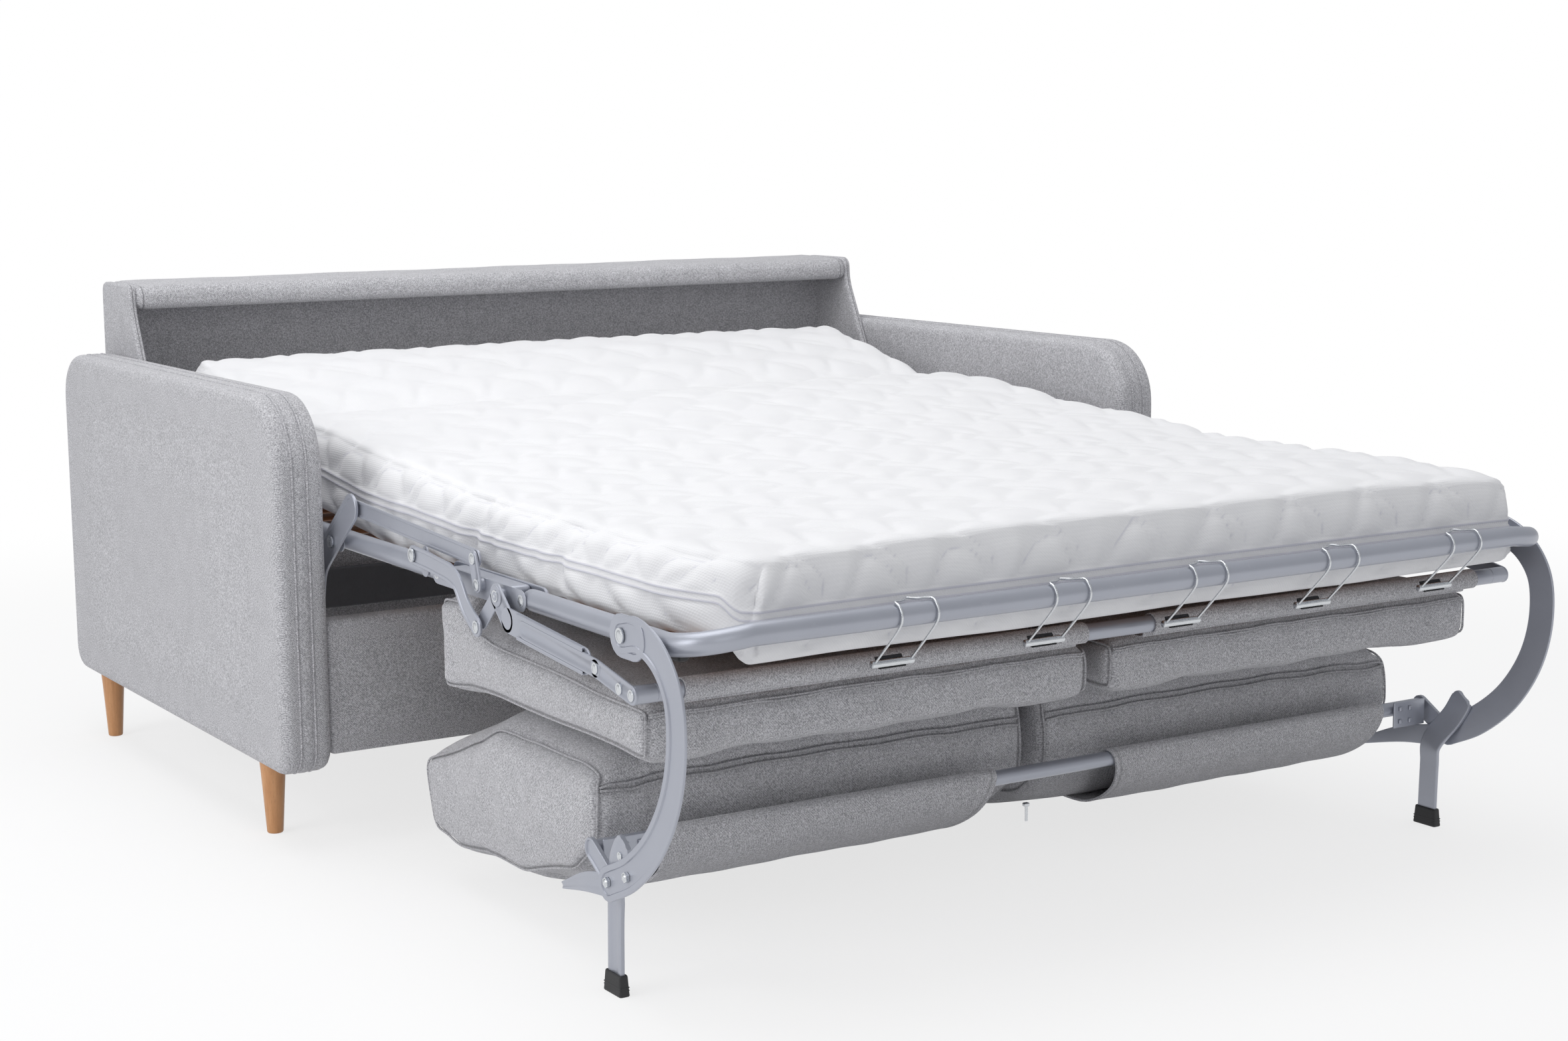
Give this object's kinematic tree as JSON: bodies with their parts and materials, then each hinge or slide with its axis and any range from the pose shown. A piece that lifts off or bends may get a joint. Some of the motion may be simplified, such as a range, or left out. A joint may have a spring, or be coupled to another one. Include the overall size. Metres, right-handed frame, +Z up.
{
  "type": "sleeper sofa with pull out bed",
  "caption": "Low upholstered sofa whose steel frame folds out into a slatted bed with a mattress, with the seat and back cushions carried under the bed's foot.",
  "frame": {"origin": "on the floor, under the middle of the whole part with the bed open", "axes": "+Y from the bed's foot to the sofa's back, +Z up, +X to the right when looking along +Y"},
  "size_m": [1.72, 2.1142, 0.8375],
  "materials": {
    "upholstery": "light grey melange twill weave",
    "lining": "dark grey cloth",
    "beech_legs": "satin lacquered beech",
    "beech_slats": "bent laminated beech with black plastic end holders",
    "painted_steel": "silver grey semi-gloss paint",
    "zinc": "bright zinc plated wire and tube",
    "black_plastic": "matte",
    "mattress_cover": "white quilted knit cover"
  },
  "bodies": {
    "sofa_body": {"arm_left": "upholstery", "arm_right": "upholstery", "back_panel": "upholstery", "back_top_pad": "upholstery", "front_rail": "upholstery", "inner_batten": "lining", "front_leg_left": "beech_legs", "front_leg_right": "beech_legs", "rear_leg_left": "beech_legs", "rear_leg_right": "beech_legs", "side_plate_left": "painted_steel", "side_plate_right": "painted_steel"},
    "swing_levers": {"swing_lever_left": "painted_steel", "swing_lever_right": "painted_steel"},
    "upper_links": {"upper_link_left": "painted_steel", "upper_link_right": "painted_steel"},
    "base_section": {"base_tube_left": "painted_steel", "base_tube_right": "painted_steel", "base_cross_tube": "painted_steel", "base_slat_pair_1": "beech_slats", "base_slat_pair_2": "beech_slats", "base_slat_pair_3": "beech_slats", "base_slat_pair_4": "beech_slats", "base_slat_pair_5": "beech_slats", "mattress_base": "mattress_cover"},
    "head_section": {"head_loop": "painted_steel", "head_slat_pair_1": "beech_slats", "mattress_head": "mattress_cover"},
    "s_links": {"s_link_left": "painted_steel", "s_link_right": "painted_steel"},
    "mid_section": {"mid_tube_left": "painted_steel", "mid_tube_right": "painted_steel", "mid_slat_pair_1": "beech_slats", "mattress_knee": "mattress_cover"},
    "foot_section": {"foot_loop": "painted_steel", "foot_slat_pair_1": "beech_slats", "foot_slat_pair_2": "beech_slats", "foot_slat_pair_3": "beech_slats", "mattress_foot": "mattress_cover"},
    "clip_set": {"mattress_clip_1": "zinc", "mattress_clip_2": "zinc", "mattress_clip_3": "zinc", "mattress_clip_4": "zinc", "mattress_clip_5": "zinc"},
    "seat_arms": {"seat_arm_left": "painted_steel", "seat_arm_right": "painted_steel"},
    "seat_frame": {"seat_slide_frame": "painted_steel", "seat_sleeve_left": "upholstery", "seat_sleeve_right": "upholstery", "seat_cushion_left": "upholstery", "seat_cushion_right": "upholstery"},
    "back_frame": {"back_arm_left": "painted_steel", "back_arm_right": "painted_steel", "back_leg_left": "painted_steel", "back_leg_right": "painted_steel", "back_cross_tube": "painted_steel", "boot_left": "black_plastic", "boot_right": "black_plastic", "back_cushion_left": "upholstery", "back_cushion_right": "upholstery"}
  },
  "joints": [
    {"name": "bed_fold", "type": "hinge", "parent": "sofa_body", "child": "swing_levers", "pos_m": [0, 0.18519, 0.26], "axis": [-1, 0, 0], "range_deg": [0, 151.73]},
    {"name": "upper_link_pivot", "type": "hinge", "parent": "swing_levers", "child": "upper_links", "pos_m": [0, -0.056, 0.545], "axis": [-1, 0, 0], "range_deg": [-127.05, 0]},
    {"name": "base_level", "type": "hinge", "parent": "swing_levers", "child": "base_section", "pos_m": [0, 0.022, 0.484], "axis": [-1, 0, 0], "range_deg": [-151.78, 0]},
    {"name": "head_fold", "type": "hinge", "parent": "base_section", "child": "head_section", "pos_m": [0, 0.5, 0.484], "axis": [-1, 0, 0], "range_deg": [-100.05, 0], "deforming": ["mattress_head"]},
    {"name": "s_link_pivot", "type": "hinge", "parent": "base_section", "child": "s_links", "pos_m": [0, -0.297, 0.507], "axis": [-1, 0, 0], "range_deg": [0, 102.65]},
    {"name": "mid_fold", "type": "hinge", "parent": "base_section", "child": "mid_section", "pos_m": [0, -0.335, 0.484], "axis": [-1, 0, 0], "range_deg": [0, 102.05], "deforming": ["mattress_knee"]},
    {"name": "foot_fold", "type": "hinge", "parent": "mid_section", "child": "foot_section", "pos_m": [0, -0.6, 0.484], "axis": [-1, 0, 0], "range_deg": [0, 78.05]},
    {"name": "clip_swing", "type": "hinge", "parent": "foot_section", "child": "clip_set", "pos_m": [0, -1.04, 0.5], "axis": [-1, 0, 0], "range_deg": [0, 110.05]},
    {"name": "seat_fold", "type": "hinge", "parent": "mid_section", "child": "seat_arms", "pos_m": [0, -0.548, 0.484], "axis": [-1, 0, 0], "range_deg": [0, 78.05]},
    {"name": "seat_slide", "type": "slide", "parent": "seat_arms", "child": "seat_frame", "axis": [0, -0.9967, -0.0815], "range_m": [0, 0.1201]},
    {"name": "back_fold", "type": "hinge", "parent": "foot_section", "child": "back_frame", "pos_m": [0, -0.885, 0.484], "axis": [-1, 0, 0], "range_deg": [0, 97.05]}
  ],
  "couplings": [
    {"joint": "upper_link_pivot", "follows": "bed_fold", "ratio": -0.83701},
    {"joint": "base_level", "follows": "bed_fold", "ratio": -1},
    {"joint": "head_fold", "follows": "bed_fold", "ratio": -0.65907},
    {"joint": "s_link_pivot", "follows": "bed_fold", "ratio": 0.6762},
    {"joint": "mid_fold", "follows": "bed_fold", "ratio": 0.67225},
    {"joint": "foot_fold", "follows": "bed_fold", "ratio": 0.51407},
    {"joint": "clip_swing", "follows": "bed_fold", "ratio": 0.72497},
    {"joint": "seat_fold", "follows": "bed_fold", "ratio": 0.51407},
    {"joint": "seat_slide", "follows": "bed_fold", "m_per_rad": 0.045314},
    {"joint": "back_fold", "follows": "bed_fold", "ratio": 0.63929}
  ]
}
